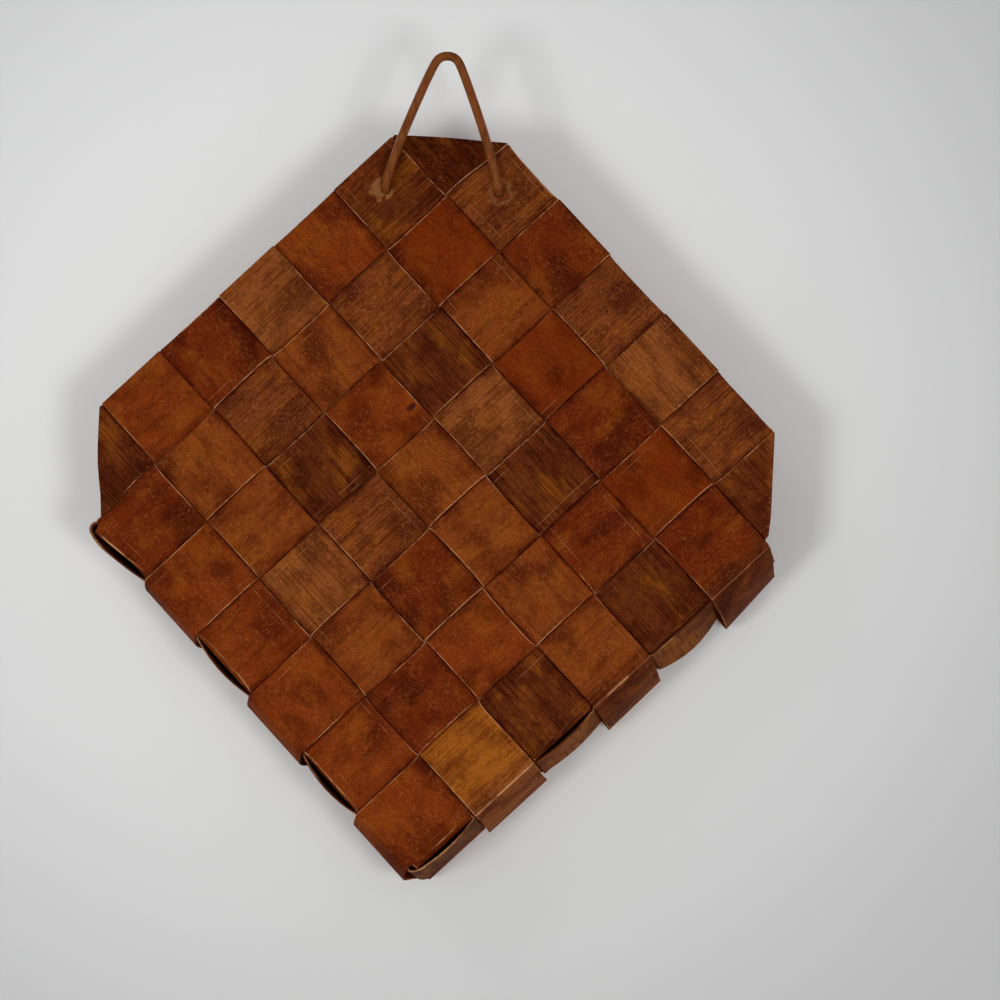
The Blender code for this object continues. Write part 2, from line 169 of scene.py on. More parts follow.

# One leg of the cord from its highest point down to its hole: x, y and z in metres
CORD_LEG = (
    (0.0000, 0.0000, 0.0016),
    (0.0033, 0.0000, 0.0004),
    (0.0059, 0.0000, -0.0044),
    (0.0100, 0.0000, -0.0145),
    (0.0143, 0.0000, -0.0259),
    (0.0177, 0.0000, -0.0362),
    (0.0193, 0.0002, -0.0412),
    (0.0199, 0.0011, -0.0444),
    (0.0202, 0.0034, -0.0458),
)
CORD_POINTS_PER_STRETCH = 3
LEFT_KNOT_SEAT = 0.0066
RIGHT_KNOT_SEAT = 0.00585

# An open overhand knot, in steps of KNOT_SIZE from its middle: the lead from the hole and the tail
KNOT_LEAD = ((0.0, -3.4, 0.0), (0.0, -2.5, 0.0), (0.25, -1.6, -0.2))
KNOT_TAIL = ((-0.55, 1.35, -1.7), (-0.2, 1.5, -2.6), (0.1, 1.4, -3.8), (0.2, 1.1, -5.4), (0.2, 0.9, -7.2))
KNOT_ANGLES = (0.42, 2 * math.pi - 0.52)
KNOT_STEPS = 24
KNOT_RADIUS = CORD_RADIUS * 0.94

# Tones of bark, as linear colours with a share of streaks
TONES = {
    "chestnut": (0.150, 0.0190, 0.0010, 0.12),
    "russet": (0.182, 0.0289, 0.0028, 0.45),
    "sienna": (0.203, 0.0417, 0.0054, 0.60),
    "tan": (0.230, 0.0642, 0.0128, 0.80),
    "umber": (0.120, 0.0235, 0.0041, 1.00),
    "wine": (0.134, 0.0171, 0.0019, 0.45),
    "dusk": (0.171, 0.0385, 0.0080, 0.85),
    "gold": (0.312, 0.0880, 0.0075, 0.74),
    "sooty": (0.064, 0.0088, 0.0008, 0.95),
}
LANE_TONES = {
    "first": ("russet", "sienna", "umber", "sienna", "umber", "russet", "umber"),
    "second": ("dusk", "wine", "dusk", "sienna", "dusk", "sienna", "russet"),
}
TONE_CHANGES = {
    ("first", 0): {0: "sooty", 4: "wine", 6: "umber"},
    ("first", 1): {1: "chestnut"},
    ("first", 2): {0: "wine", 6: "russet"},
    ("first", 3): {1: "chestnut", 5: "tan"},
    ("first", 4): {0: "tan", 4: "wine", 6: "russet"},
    ("first", 5): {1: "chestnut", 3: "sienna", 5: "wine"},
    ("first", 6): {6: "russet"},
    ("second", 1): {0: "umber", 2: "sienna", 7: "umber"},
    ("second", 2): {3: "tan", 5: "wine"},
    ("second", 3): {0: "tan", 2: "russet", 4: "sienna", 7: "umber"},
    ("second", 4): {5: "russet"},
    ("second", 5): {0: "russet", 6: "gold", 7: "tan"},
    ("second", 6): {1: "wine", 5: "russet"},
}
BAND_TONE = (0.208, 0.0590, 0.0080, 0.8)
BAND_END_TONE = (0.120, 0.0340, 0.0080, 0.8)
BAND_INNER_TONE = (0.060, 0.014, 0.004, 0.5)
TONE_BLEND = 0.16

# Colours of the bark's marks, of its painted shade and painted highlight, and tints that its tone is
# multiplied by
WARM_BARK = (0.27, 0.072, 0.004, 1)
PALE_BARK = (0.38, 0.125, 0.034, 1)
SLIT = (0.018, 0.004, 0.001, 1)
FLECK = (0.34, 0.115, 0.034, 1)
SCORE_PALE = (0.33, 0.120, 0.042, 1)
# Painted shade beside each score line
SCORE_SHADE = (0.055, 0.010, 0.002, 1)
# Pale cut edges, and the painted highlight along the creases
CUT_EDGE_AND_HIGHLIGHT = (0.52, 0.240, 0.105, 1)
# Painted shade on the cut edges that aren't fresh
EDGE_SHADE = (0.085, 0.016, 0.007, 1)
HOLE_WEAR = (0.30, 0.125, 0.038, 1)
KNOT_MARK = (0.030, 0.006, 0.004, 1)
DARK_TINT = (0.34, 0.20, 0.22, 1)
STREAK_TINT = (0.8, 0.75, 0.7, 1)
# Painted shade where a strip goes under another or lies in the gap behind the side band
DIVE_SHADE_TINT = (0.45, 0.26, 0.30, 1)
LEATHER = (0.190, 0.052, 0.0095, 1)
LEATHER_DARK = (0.080, 0.019, 0.004, 1)
LEATHER_LIGHT = (0.46, 0.18, 0.055, 1)

# Score lines: the place of each across the strip and the pace at which it comes and goes
SCORE_PLACE = 0.0112
SCORE_LINES = ((SCORE_PLACE, 19), (-SCORE_PLACE * 0.9, 33))
SCORE_SWERVE = 0.0008

# Worn or dark places: the centre's x and z, where each begins and ends, its unevenness, strength and colour
WORN_PLACES = (
    ((-HOLE_HALF_SPREAD - 0.0020, HOLE_HEIGHT - 0.0008), 0.00005, 0.0040, 1.2, 0.62, HOLE_WEAR),
    ((HOLE_HALF_SPREAD + 0.0003, HOLE_HEIGHT), 0.0044, 0.0056, 0.8, 0.36, HOLE_WEAR),
    ((-0.0078, -0.1237), 0.00005, 0.0013, 0.35, 0.75, KNOT_MARK),
    ((-0.0069, -0.1228), 0.00005, 0.0009, 0.35, 0.9, KNOT_MARK),
)

# Camera, stage and lamps
CAMERA_AZIMUTH = math.radians(5)
CAMERA_ELEVATION = math.radians(-4)
CAMERA_ROLL = math.radians(2.6)
CAMERA_DISTANCE = 1.4
CAMERA_LENS = 143.3
SENSOR_WIDTH = 36
CAMERA_TARGET = Vector((0.0253, CORD_STANDOFF, -0.1547))
KEY_DISTANCE = 1.6
KEY_SIDE = math.radians(25)
KEY_DROP = math.radians(-13)
KEY_SIZE = 0.38
KEY_POWER = 7.4
# Place, size and power of the other lamps
LAMPS = {
    "top": ((-0.9, -1.3, 1.1), 0.6, 2.6),
    "rear_left": ((-1.3, 1.9, 0.9), 1.3, 28),
    "rear_right": ((1.5, 1.7, 0.4), 1.3, 28),
}
WORLD_COLOUR = (0.95, 0.97, 1.0, 1)
WORLD_STRENGTH = 0.47
WALL_STANDOFF = 0.0425
WALL_TOP = 3.0
WALL_COLOUR = (0.795, 0.80, 0.785, 1)
# Centre of the pool of light painted on the wall
LIGHTEST_PLACE = (-0.03, WALL_STANDOFF, -0.10)
FLOOR_HEIGHT = -0.95
FLOOR_COLOUR = (0.70, 0.70, 0.69, 1)
STAGE_REACH = 4.0


# Objects and camera


def put(name, data):
    """Makes an object of some data and links it to the scene."""
    item = bpy.data.objects.new(name, data)
    bpy.context.scene.collection.objects.link(item)
    return item


def direction(azimuth, elevation):
    """Unit vector at an azimuth, counted from -Y towards +X, and an elevation."""
    return Vector((math.sin(azimuth) * math.cos(elevation),
                   -math.cos(azimuth) * math.cos(elevation),
                   math.sin(elevation)))


def make_camera():
    data = bpy.data.cameras.new("camera")
    data.lens = CAMERA_LENS
    data.sensor_width = SENSOR_WIDTH
    data.clip_start = 0.01
    data.clip_end = 50
    camera = put("camera", data)
    back = direction(CAMERA_AZIMUTH, CAMERA_ELEVATION)
    camera.location = CAMERA_TARGET + back * CAMERA_DISTANCE
    aim = (-back).to_track_quat("-Z", "Y").to_matrix().to_4x4()
    roll = Matrix.Rotation(CAMERA_ROLL, 4, "Z")
    camera.rotation_euler = (aim @ roll).to_euler()
    bpy.context.scene.camera = camera


# Materials


class Nodes:
    """Short ways to add nodes to one material's tree."""

    def __init__(self, name):
        self.material = bpy.data.materials.new(name)
        self.material.use_nodes = True
        self.tree = self.material.node_tree
        self.shader = self.tree.nodes["Principled BSDF"]
        self.output = self.tree.nodes["Material Output"]

    def add(self, kind, inputs=None, **settings):
        node = self.tree.nodes.new(kind)
        for name, value in settings.items():
            setattr(node, name, value)
        for name, value in (inputs or {}).items():
            self.link(value, node.inputs[name])
        return node

    def link(self, value, socket):
        if isinstance(value, bpy.types.NodeSocket):
            self.tree.links.new(value, socket)
        else:
            socket.default_value = value

    def maths(self, operation, *values):
        return self.add("ShaderNodeMath", dict(enumerate(values)), operation=operation).outputs[0]

    def times(self, first, second):
        return self.maths("MULTIPLY", first, second)

    def vectors(self, operation, *values):
        return self.add("ShaderNodeVectorMath", dict(enumerate(values)), operation=operation).outputs

    def distance(self, place, centre):
        return self.vectors("LENGTH", self.vectors("SUBTRACT", place, centre)[0])["Value"]

    def noise(self, vector, paces, detail, roughness=0.55):
        inputs = {"Vector": self.vectors("MULTIPLY", vector, paces)[0], "Scale": 1,
                  "Detail": detail, "Roughness": roughness}
        return self.add("ShaderNodeTexNoise", inputs).outputs["Fac"]

    def span(self, value, low, high, to_low, to_high, by=None):
        """Takes a value smoothly from one span to another, and multiplies it by another value."""
        inputs = {"Value": value, "From Min": low, "From Max": high, "To Min": to_low, "To Max": to_high}
        found = self.add("ShaderNodeMapRange", inputs, interpolation_type="SMOOTHSTEP").outputs["Result"]
        return found if by is None else self.times(found, by)

    def mix(self, factor, first, second, blend="MIX"):
        inputs = {0: factor, 6: first, 7: second}
        return self.add("ShaderNodeMix", inputs, data_type="RGBA", blend_type=blend).outputs[2]

    def tinted(self, colour, tint):
        return self.mix(1.0, colour, tint, "MULTIPLY")

    def bump(self, height, strength, distance):
        inputs = {"Height": height, "Strength": strength, "Distance": distance}
        self.link(self.add("ShaderNodeBump", inputs).outputs["Normal"], self.shader.inputs["Normal"])

    def surface(self, colour, roughness, specular):
        """Sets the shader's colour, roughness and specular level."""
        self.link(colour, self.shader.inputs["Base Color"])
        self.link(roughness, self.shader.inputs["Roughness"])
        self.shader.inputs["Specular IOR Level"].default_value = specular


class Bark(Nodes):
    """Inner face of birch bark: mottled, with streaks across the strip, pale cut edges, wear round the
    holes, and painted shade and highlights.
    """

    def __init__(self):
        super().__init__("birch_bark")
        self.grain = self.add("ShaderNodeUVMap", uv_map="grain").outputs["UV"]
        tone = self.add("ShaderNodeAttribute", attribute_name="tone")
        self.tone, self.streakiness = tone.outputs["Color"], tone.outputs["Alpha"]
        self.dark = self.tinted(self.tone, DARK_TINT)
        self.lively = self.maths("MULTIPLY_ADD", self.streakiness, 0.7, 0.3)
        self.cloud = self.pattern(230, 120, 4, 0.65)
        self.mottle = self.pattern(1500, 560, 5, 0.74)
        self.fine = self.pattern(2700, 1300, 3, 0.7)

    def share(self, name):
        """A share that the mesh stores under a name."""
        return self.add("ShaderNodeAttribute", attribute_name=name).outputs["Fac"]

    def pattern(self, along, across, detail, roughness):
        """Noise with its own pace along the strip and across it."""
        return self.noise(self.grain, (along, across, 0), detail, roughness)

    def mottled(self):
        """The strip's tone with warmer patches and darker patches and clouds."""
        patch, second_patch = self.pattern(66, 46, 3, 0.55), self.pattern(88, 58, 3, 0.6)
        golden = self.span(second_patch, 0.48, 0.64, 0.0, 0.85, self.lively)
        colour = self.mix(golden, self.tone, self.mix(0.6, self.tone, WARM_BARK))
        colour = self.mix(self.span(patch, 0.46, 0.66, 0.0, 0.78), colour, self.dark)
        clouds = self.span(self.cloud, 0.48, 0.64, 0.0, 0.55, self.lively)
        return self.mix(clouds, colour, self.dark)

    def streaked(self, colour):
        """Adds bands, streaks and slits across the strip, with a veil, stains and flecks among them."""
        cluster, bands = self.pattern(150, 110, 3, 0.6), self.pattern(430, 24, 3, 0.6)
        lines, slit = self.pattern(1600, 24, 2, 0.55), self.pattern(1900, 48, 1.5, 0.5)
        lined = self.span(self.streakiness, 0.45, 1.0, 0.12, 1.0)
        gathered = self.span(cluster, 0.38, 0.54, 0.3, 1.0, lined)
        speckled = self.span(self.streakiness, 0.86, 0.98, 1.0, 0.3, self.lively)
        veiled = self.span(cluster, 0.62, 0.44, 0.12, 1.0, speckled)
        pale = self.mix(0.55, self.tone, PALE_BARK)
        self.streaks = self.span(lines, 0.52, 0.62, 0.0, 0.8, gathered)
        self.slits = self.span(slit, 0.64, 0.70, 0.0, 0.85, gathered)
        for share, other in (
                (self.span(bands, 0.50, 0.64, 0.0, 0.55, self.streakiness), self.dark),
                (self.span(self.mottle, 0.50, 0.62, 0.0, 0.75, veiled), pale),
                (self.streaks, self.tinted(self.dark, STREAK_TINT)),
                (self.span(self.mottle, 0.46, 0.35, 0.0, 0.7, self.lively), self.dark),
                (self.slits, SLIT),
                (self.span(self.fine, 0.60, 0.72, 0.0, 0.6, speckled), FLECK)):
            colour = self.mix(share, colour, other)
        return self.tinted(colour, self.span(self.fine, 0.25, 0.75, 0.80, 1.20))

    def scored(self, colour):
        """Adds thin pale lines of wear that run along a strip a little inside its edges, each with a line
        of painted shade beside it, in some places only.
        """
        across = self.add("ShaderNodeSeparateXYZ", {0: self.grain}).outputs["Y"]
        wander, broken = self.pattern(9, 0, 2, 0.5), self.pattern(130, 260, 4, 0.6)
        for place, pace in SCORE_LINES:
            present = self.span(self.pattern(pace, 0, 1, 0.5), 0.50, 0.60, 0.0, 0.62)
            present = self.span(broken, 0.38, 0.58, 0.15, 1.0, present)
            swerve = self.span(wander, 0.3, 0.7, place - SCORE_SWERVE, place + SCORE_SWERVE)
            off = self.maths("SUBTRACT", across, swerve)
            pale = self.span(self.maths("ABSOLUTE", off), 0.00008, 0.00026, 0.9, 0.0, present)
            colour = self.mix(pale, colour, SCORE_PALE)
            # A line of painted shade beside the pale line
            beside = self.maths("ABSOLUTE", self.maths("SUBTRACT", off, 0.00036))
            shade = self.span(beside, 0.00008, 0.00030, 0.8, 0.0, present)
            colour = self.mix(shade, colour, SCORE_SHADE)
        return colour

    def dive_shade_and_wear(self, colour):
        """Paints shade where the bark goes under another strip or lies in the gap behind the side band, and
        adds the places of wear and the dark marks.
        """
        # Painted shade, stored as the dive share
        dive_shade = self.span(self.cloud, 0.32, 0.62, 0.25, 0.85, self.share("dive"))
        colour = self.mix(dive_shade, colour, self.tinted(colour, DIVE_SHADE_TINT))
        place = self.vectors("MULTIPLY", self.add("ShaderNodeTexCoord").outputs["Object"], (1, 0, 1))[0]
        uneven = self.span(self.cloud, 0.3, 0.7, -0.0014, 0.0014)
        for (x, z), near, far, unevenness, strength, wear in WORN_PLACES:
            reach = self.maths("MULTIPLY_ADD", uneven, unevenness, self.distance(place, (x, 0, z)))
            share = self.span(reach, near * 0.6, near, 0.0, 1.0)
            colour = self.mix(self.span(reach, far, far * 0.72, 0.0, strength, share), colour, wear)
        return colour

    def edged(self, colour):
        """Adds the cut edges, pale where they are fresh and with painted shade elsewhere, and a painted
        highlight along the creases.
        """
        chipped, fresh = self.pattern(260, 90, 3, 0.6), self.pattern(26, 60, 2, 0.5)
        stored = self.share("rim")
        # A painted highlight along the crease, stored in the rim share above 1
        crease = self.times(self.maths("MAXIMUM", self.maths("SUBTRACT", stored, 1.0), 0.0), 0.42)
        rim = self.maths("MINIMUM", stored, 1.0)
        fresh = self.span(fresh, 0.47, 0.55, 0.0, 1.0, rim)
        # Painted shade on the cut edges that aren't fresh
        edge_shade = self.times(self.maths("SUBTRACT", rim, fresh), 0.6)
        colour = self.mix(edge_shade, colour, EDGE_SHADE)
        edge = self.span(chipped, 0.36, 0.60, 0.25, 1.0, fresh)
        return self.mix(self.maths("MAXIMUM", edge, crease), colour, CUT_EDGE_AND_HIGHLIGHT)


def bark_material():
    kit = Bark()
    colour = kit.streaked(kit.mottled())
    colour = kit.edged(kit.dive_shade_and_wear(kit.scored(colour)))
    kit.surface(colour, kit.span(kit.mottle, 0.3, 0.7, 0.58, 0.76), 0.02)
    relief = kit.maths("SUBTRACT", kit.times(kit.mottle, 0.5), kit.times(kit.slits, 0.7))
    relief = kit.maths("SUBTRACT", relief, kit.times(kit.streaks, 0.3))
    relief = kit.maths("ADD", relief, kit.times(kit.fine, 0.22))
    kit.bump(relief, 0.5, 0.00022)
    return kit.material


def leather_material():
    """Smooth worn leather lace with fine grain and darker rubbed places."""
    kit = Nodes("leather")
    place = kit.add("ShaderNodeTexCoord").outputs["Object"]
    grain = kit.noise(place, (2600, 2600, 1500), 4, 0.6)
    rubbed = kit.noise(place, (520, 520, 150), 4, 0.62)
    lines = kit.noise(place, (3400, 3400, 260), 2, 0.5)
    colour = kit.mix(kit.span(rubbed, 0.40, 0.70, 0.0, 0.75), LEATHER, LEATHER_DARK)
    colour = kit.mix(kit.span(grain, 0.56, 0.72, 0.0, 0.5), colour, LEATHER_DARK)
    colour = kit.mix(kit.span(lines, 0.60, 0.74, 0.0, 0.35), colour, LEATHER_LIGHT)
    kit.surface(colour, kit.span(rubbed, 0.3, 0.7, 0.42, 0.60), 0.08)
    kit.bump(kit.maths("ADD", grain, lines), 0.35, 0.00015)
    return kit.material


# The weave


def sign_of(kind, lane, cell, side):
    """Whether a lane lies outside (1) or inside (-1) where it crosses the given lane."""
    first_is_out = (lane + cell) % 2 == (0 if side == "panel" else 1)
    return 1 if (kind == "first") == first_is_out else -1


def wall_sign(kind, lane):
    """Whether a lane passes outside (1) or inside (-1) the side band."""
    return 1 if lane % 2 == (0 if kind == "first" else 1) else -1


def wall_run(depth):
    """Run at which a lane reaches a depth on its wall."""
    return TURN_START + QUARTER_TURN + depth - EDGE_RADIUS


def front_run(place):
    """Run at which a lane on the pocket front reaches a place along u or v."""
    return wall_run(POCKET_DEPTH - EDGE_RADIUS) + QUARTER_TURN + TURN_START - place


WALL_END = wall_run(POCKET_DEPTH - EDGE_RADIUS)
FRONT_START = front_run(TURN_START)


def middle_surface(run):
    """Place, depth and the outward normal's two parts on a lane's middle surface, for an array of runs."""
    wall = POCKET_DEPTH - 2 * EDGE_RADIUS
    past = run - TURN_START
    wrap = np.clip((HALF_GAP - run) / WRAP_RADIUS, 0, math.pi)
    tuck = np.maximum(HALF_GAP - run - math.pi * WRAP_RADIUS, 0)
    turn_in = np.clip(past / EDGE_RADIUS, 0, math.pi / 2)
    up = np.clip(past - QUARTER_TURN, 0, wall)
    turn_out = np.clip((past - QUARTER_TURN - wall) / EDGE_RADIUS, 0, math.pi / 2)
    back = np.maximum(past - 2 * QUARTER_TURN - wall, 0)
    place = np.clip(run, HALF_GAP, TURN_START) - WRAP_RADIUS * np.sin(wrap) + tuck
    place += EDGE_RADIUS * (np.sin(turn_in) - 1 + np.cos(turn_out)) - back
    depth = WRAP_RADIUS * (1 - np.cos(wrap)) + EDGE_RADIUS * (1 - np.cos(turn_in)) + up
    depth += EDGE_RADIUS * np.sin(turn_out)
    angle = turn_in + turn_out - wrap
    return place, depth, np.sin(angle), -np.cos(angle)


class Woven:
    """A strip that goes in and out of others: where it changes side, and how high it lies at each run."""

    def __init__(self, before, changes):
        """changes are runs, each with the side after it, and before is the side before the first."""
        self.ramps = [run for run, sign in changes]
        runs, heights = [], []
        for run, sign in changes:
            runs += [run - RAMP_HALF, run + RAMP_HALF]
            heights += [before * HALF_LIFT, sign * HALF_LIFT]
            before = sign
        self.runs, self.heights = np.array(runs), np.array(heights)

    def height(self, run):
        taps = [np.interp(run + RAMP_SOFTNESS * tap, self.runs, self.heights) for tap in RAMP_TAPS]
        return sum(taps) / len(taps)

    def chosen(self, runs, shares, start, end):
        """The runs and those round each ramp, in order from start to end, without near doubles."""
        for ramp in self.ramps:
            runs.update(ramp + step / 1000 for step in NEAR_RAMP)
            runs.update(ramp + PITCH * share for share in shares)
        kept = []
        for run in sorted(run for run in runs if start <= run <= end):
            if not kept or run - kept[-1] > LEAST_STEP:
                kept.append(run)
        return kept


class Lane(Woven):
    """One lane of the weave: its waves on the panel and the front, and the shape of its wall."""

    def __init__(self, kind, lane, wrapped=False):
        self.kind = kind
        self.lane = lane
        self.wrapped = wrapped
        self.bow = WALL_BOWS.get((kind, lane), WALL_BOW * wall_sign(kind, lane))
        self.lean, self.twist, self.narrowing = WALL_LEANS.get((kind, lane), (0, 0, 0))
        self.reach = EDGE_REACHES.get((kind, lane))
        self.middle = (lane + 0.5) * PITCH
        changes = [(cell * PITCH, sign_of(kind, lane, cell, "panel")) for cell in range(1, LANES)]
        changes.append((wall_run(WALL_RAMP), sign_of(kind, lane, LANES - 1, "front")))
        changes += [(front_run(cell * PITCH), sign_of(kind, lane, cell - 1, "front"))
                    for cell in range(LANES - 1, 0, -1)]
        super().__init__(0 if wrapped else sign_of(kind, lane, 0, "panel"), changes)

    def closeness(self, run, reach):
        """How close a run is to the nearest place where the lane goes in or out, from 0 to 1."""
        return math.exp(-(min(abs(run - ramp) for ramp in self.ramps) / reach) ** 2)

    def far_share(self, run):
        """Share of the wall's lean at a run, full at the far turn and dying away on the front."""
        rise = np.clip((run - TURN_START) / (WALL_END - TURN_START), 0, 1)
        fall = np.clip(1 - (run - FRONT_START) / LEAN_FADE, 0, 1)
        return rise * (2 - rise) * fall * fall * (3 - 2 * fall)

    def crease(self, run):
        """How close a run is to the turn from the panel to a wall outside the band, from 0 to 1, which sets
        a painted highlight along the crease.
        """
        if wall_sign(self.kind, self.lane) < 0 or self.kind == "first":
            return 0.0
        return math.exp(-((run - TURN_START - EDGE_RADIUS * math.pi / 4) / CREASE_REACH) ** 2)

    def hollow(self, run):
        """How deep a run lies in the gap behind the side band, from 0 to 1, which sets painted shade there.
        """
        if wall_sign(self.kind, self.lane) > 0:
            return 0.0
        return math.exp(-((run - TURN_START) / HOLLOW_REACH) ** 2)

    def rise(self, run, across, place, settle):
        """Height over the middle surface, with the crown of each crossing, its warps and the wall's bow."""
        height = self.height(run)
        lift = height / HALF_LIFT
        if self.wrapped:
            lift = np.where(run < PITCH - RAMP_HALF, 1, lift)
        share = 2 * np.mod(place / PITCH, 1) - 1
        flat = ((run < TURN_START) | (run > FRONT_START)) & (run > HALF_GAP)
        crown = (1 - share ** 2) * (1 - 0.5 * (across / HALF_WIDTH) ** 2)
        seed = self.lane + FIRST_LANES_SEED * (self.kind == "first")
        along, wide = WARP_PACES
        warp = np.array([noise.noise(Vector((r * along, a * wide, seed))) for r, a in zip(run, across)])
        height = height + lift * flat * crown * (CROWN + WARP * (0.5 + warp))
        height = height * (1 - settle) + np.sign(lift) * HALF_LIFT * settle
        wall_share = np.clip((run - TURN_START) / (FRONT_START - TURN_START), 0, 1)
        return height + self.bow * np.sin(math.pi * wall_share ** BOW_LEAN) ** 2

    def points(self, run, across, settle):
        """Points of the lane's middle and their outward normals, as arrays of u, v and depth.

        The lane bulges over each crossing. With settle it comes down flat instead, as at a crease.
        """
        place, depth, normal_along, normal_depth = middle_surface(run)
        height = self.rise(run, across, place, settle)
        far = self.far_share(run)
        place = place + normal_along * height + far * (self.lean + self.twist * across / HALF_WIDTH)
        depth = depth + normal_depth * height
        across = across + far * self.narrowing * (0.65 - 0.35 * across / HALF_WIDTH)
        if self.reach:
            side, runs, reaches = self.reach
            across = across + np.interp(run, runs, reaches) * np.clip(side * across / HALF_WIDTH, 0, 1) ** 4
        order = (0, 1, 2) if self.kind == "first" else (1, 0, 2)
        return (np.stack((self.middle + across, place, depth), 1)[:, order],
                np.stack((np.zeros_like(place), normal_along, normal_depth), 1)[:, order])

    def stations(self, start, end):
        """Runs from start to end: close together at bends and edges, and wider apart between them."""
        runs = {start, end, *(self.reach[1] if self.reach else ())}
        runs.update(HALF_GAP - WRAP_RADIUS * math.pi * step / 8 for step in range(9))
        runs.update(PITCH * share for share in (-0.8, -0.5, -0.25, 0.2, 0.5, 0.8))
        for bend in (TURN_START, WALL_END):
            runs.update(bend + QUARTER_TURN * step / 8 for step in range(-1, 10))
        runs.update(wall_run(EDGE_RADIUS + BAND_WIDTH * step / 10) for step in range(1, 11))
        runs.update(front_run(TURN_START - LEAN_FADE * step / 6) for step in range(1, 7))
        return self.chosen(runs, (0.2, 0.34, 0.5, 0.66, 0.8), start, end)


class Ribbon:
    """One ply of a strip, built up from cross-sections as a closed skin with chamfered long edges."""

    def __init__(self, seed, side, half_width=HALF_WIDTH, edge_wave=EDGE_WAVE, pulls=()):
        self.seed = seed
        self.side = side
        self.half_width = half_width
        self.edge_wave = edge_wave
        self.pulls = pulls
        self.rings, self.grains, self.tones = [], [], []

    def edge(self, side, along, wider):
        """Distance of the low (-1) or high (1) long edge from the middle of the strip, which wavers."""
        def wave(pace, row, seed):
            return noise.noise(Vector((along * pace, side * row, seed)))

        slow, quick = EDGE_PACES
        waver = wave(slow, 3.7, self.seed) + 0.5 * wave(quick, 5.1, self.seed)
        peek = PEEK * min(1, max(0, 2.6 * wave(PEEK_PACE, 2.3, self.seed + PEEK_SEED) - 0.15))
        return side * (self.half_width + self.edge_wave * waver - peek * (1 - wider)
                       + JUNCTION_WIDENING * wider)

    def columns(self, low, high):
        """Places across the strip, with the share of its thickness and of its pale rim at each."""
        inner = [(low + (high - low) * share, 0) for share in (0.2, 0.35, 0.5, 0.65, 0.8)]
        inner = [(low + CHAMFER, 0.75), (low + PALE_RIM, 0), *inner,
                 (high - PALE_RIM, 0), (high - CHAMFER, 0.75)]
        return [*((place, 0.5, rim) for place, rim in inner), (high, 0.22, 1), (high, -0.22, 1),
                *((place, -0.5, rim) for place, rim in inner[::-1]), (low, -0.22, 1), (low, 0.22, 1)]

    def add(self, section, along_low, along_high, cell_tone, wider=(0, 0), dive=0.0, pale=(1.0, 0.0)):
        """Adds a cross-section; section gives points and face directions for runs across the strip.

        wider is the share of widening at the two edges. dive is how close the strip is to going under
        another, which sets its painted shade, and pale gives how pale its cut edges and its whole width
        are, up to 1, or up to 2 where a crease carries a painted highlight all along.
        """
        low, high = self.edge(-1, along_low, wider[0]), self.edge(1, along_high, wider[1])
        across, thickness, rim = np.array(self.columns(low, high)).T
        share = (across - low) / (high - low)
        along = along_low + (along_high - along_low) * share
        middle, face = section(across, along)
        offset = self.side * PLY_OFFSET + thickness * BARK
        self.rings.append(middle + face * offset[:, None])
        self.grains.append(np.stack((along + self.seed * GRAIN_STEP, across), 1))
        self.tones.append((cell_tone, np.maximum(rim * pale[0], pale[1]), dive))

    def placed(self):
        """The points of all cross-sections in the frame, with the basket's uneven borders and lean."""
        u, v, depth = np.concatenate(self.rings).T
        for place_u, place_v, reach, pull_u, pull_v in self.pulls:
            share = np.exp(-((u - place_u) ** 2 + (v - place_v) ** 2) / reach ** 2)
            u, v = u + pull_u * share, v + pull_v * share
        u = u + np.interp(u, BORDERS, SHIFTS_ALONG_U) + LEAN_ALONG_U * depth / POCKET_DEPTH
        v = v + np.interp(v, BORDERS, SHIFTS_ALONG_V) + LEAN_ALONG_V * depth / POCKET_DEPTH
        return np.stack((PANEL_SHIFT + (u - v) * math.sqrt(0.5), CORD_STANDOFF + depth,
                         CORNER_HEIGHT - (u + v) * math.sqrt(0.5)), 1)

    def skin(self):
        """Faces between the cross-sections, and the two ends."""
        count, last = len(self.rings[0]), len(self.rings) - 1
        faces = []
        for first in range(0, last * count, count):
            second = first + count
            for index in range(count):
                following = (index + 1) % count
                faces.append((first + index, first + following, second + following, second + index))
        half = (count - 6) // 2
        for base in (0, last * count):
            for index in range(half):
                other = base + count - 3 - index
                faces.append((base + index, other, other - 1, base + index + 1))
            faces.append((base, base + count - 1, base + count - 2, base + count - 3))
            faces.append((base + half, base + half + 3, base + half + 2, base + half + 1))
        return faces

    def build(self, name, material):
        mesh = bpy.data.meshes.new(name)
        mesh.from_pydata(self.placed().tolist(), [], self.skin())
        self.paint(mesh)
        build = bmesh.new()
        build.from_mesh(mesh)
        bmesh.ops.recalc_face_normals(build, faces=build.faces[:])
        build.to_mesh(mesh)
        build.free()
        mesh.shade_smooth()
        mesh.set_sharp_from_angle(angle=SHARP_ANGLE)
        mesh.materials.append(material)
        return put(name, mesh)

    def paint(self, mesh):
        """Stores the grain coordinates, the tone, the rim share with the crease's painted highlight and the
        dive share of painted shade on the faces' corners.
        """
        count = len(self.rings[0])
        tones, rims, dives = zip(*self.tones)
        corners = np.zeros(len(mesh.loops), int)
        mesh.loops.foreach_get("vertex_index", corners)
        grain = np.concatenate(self.grains)
        mesh.uv_layers.new(name="grain").data.foreach_set("uv", grain[corners].ravel())
        layer = mesh.attributes.new("tone", "FLOAT_COLOR", "CORNER")
        layer.data.foreach_set("color", np.repeat(tones, count, axis=0)[corners].ravel())
        for name, values in (("rim", np.concatenate(rims)), ("dive", np.repeat(dives, count))):
            layer = mesh.attributes.new(name, "FLOAT", "CORNER")
            layer.data.foreach_set("value", values[corners])


